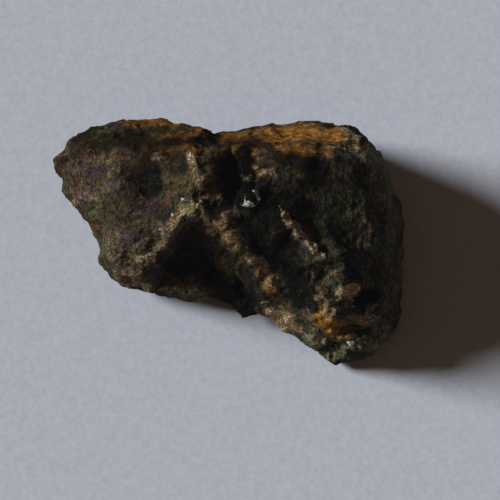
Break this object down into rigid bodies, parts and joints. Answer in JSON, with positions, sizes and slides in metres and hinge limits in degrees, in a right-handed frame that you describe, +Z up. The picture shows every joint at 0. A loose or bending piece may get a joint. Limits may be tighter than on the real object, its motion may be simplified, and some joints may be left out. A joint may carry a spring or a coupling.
{
  "type": "raw purpurite specimen",
  "caption": "Rough broken lump of a dark phosphate mineral with ridges, hollows and an ochre weathered rind, lying on its flattest face.",
  "frame": {"origin": "ground level, under the middle of the stone's bounding box", "axes": "+Z up, out of the face the stone rests on; +X along the stone's length, towards its blunt end; +Y across it, towards the ochre rind"},
  "size_m": [0.071, 0.0494, 0.027],
  "materials": {
    "purpurite_stone": "rough broken mineral, near black and brown, with olive, purple and ochre weathering and a few glassy glints"
  },
  "bodies": {
    "root": {"purpurite": "purpurite_stone"}
  },
  "joints": []
}
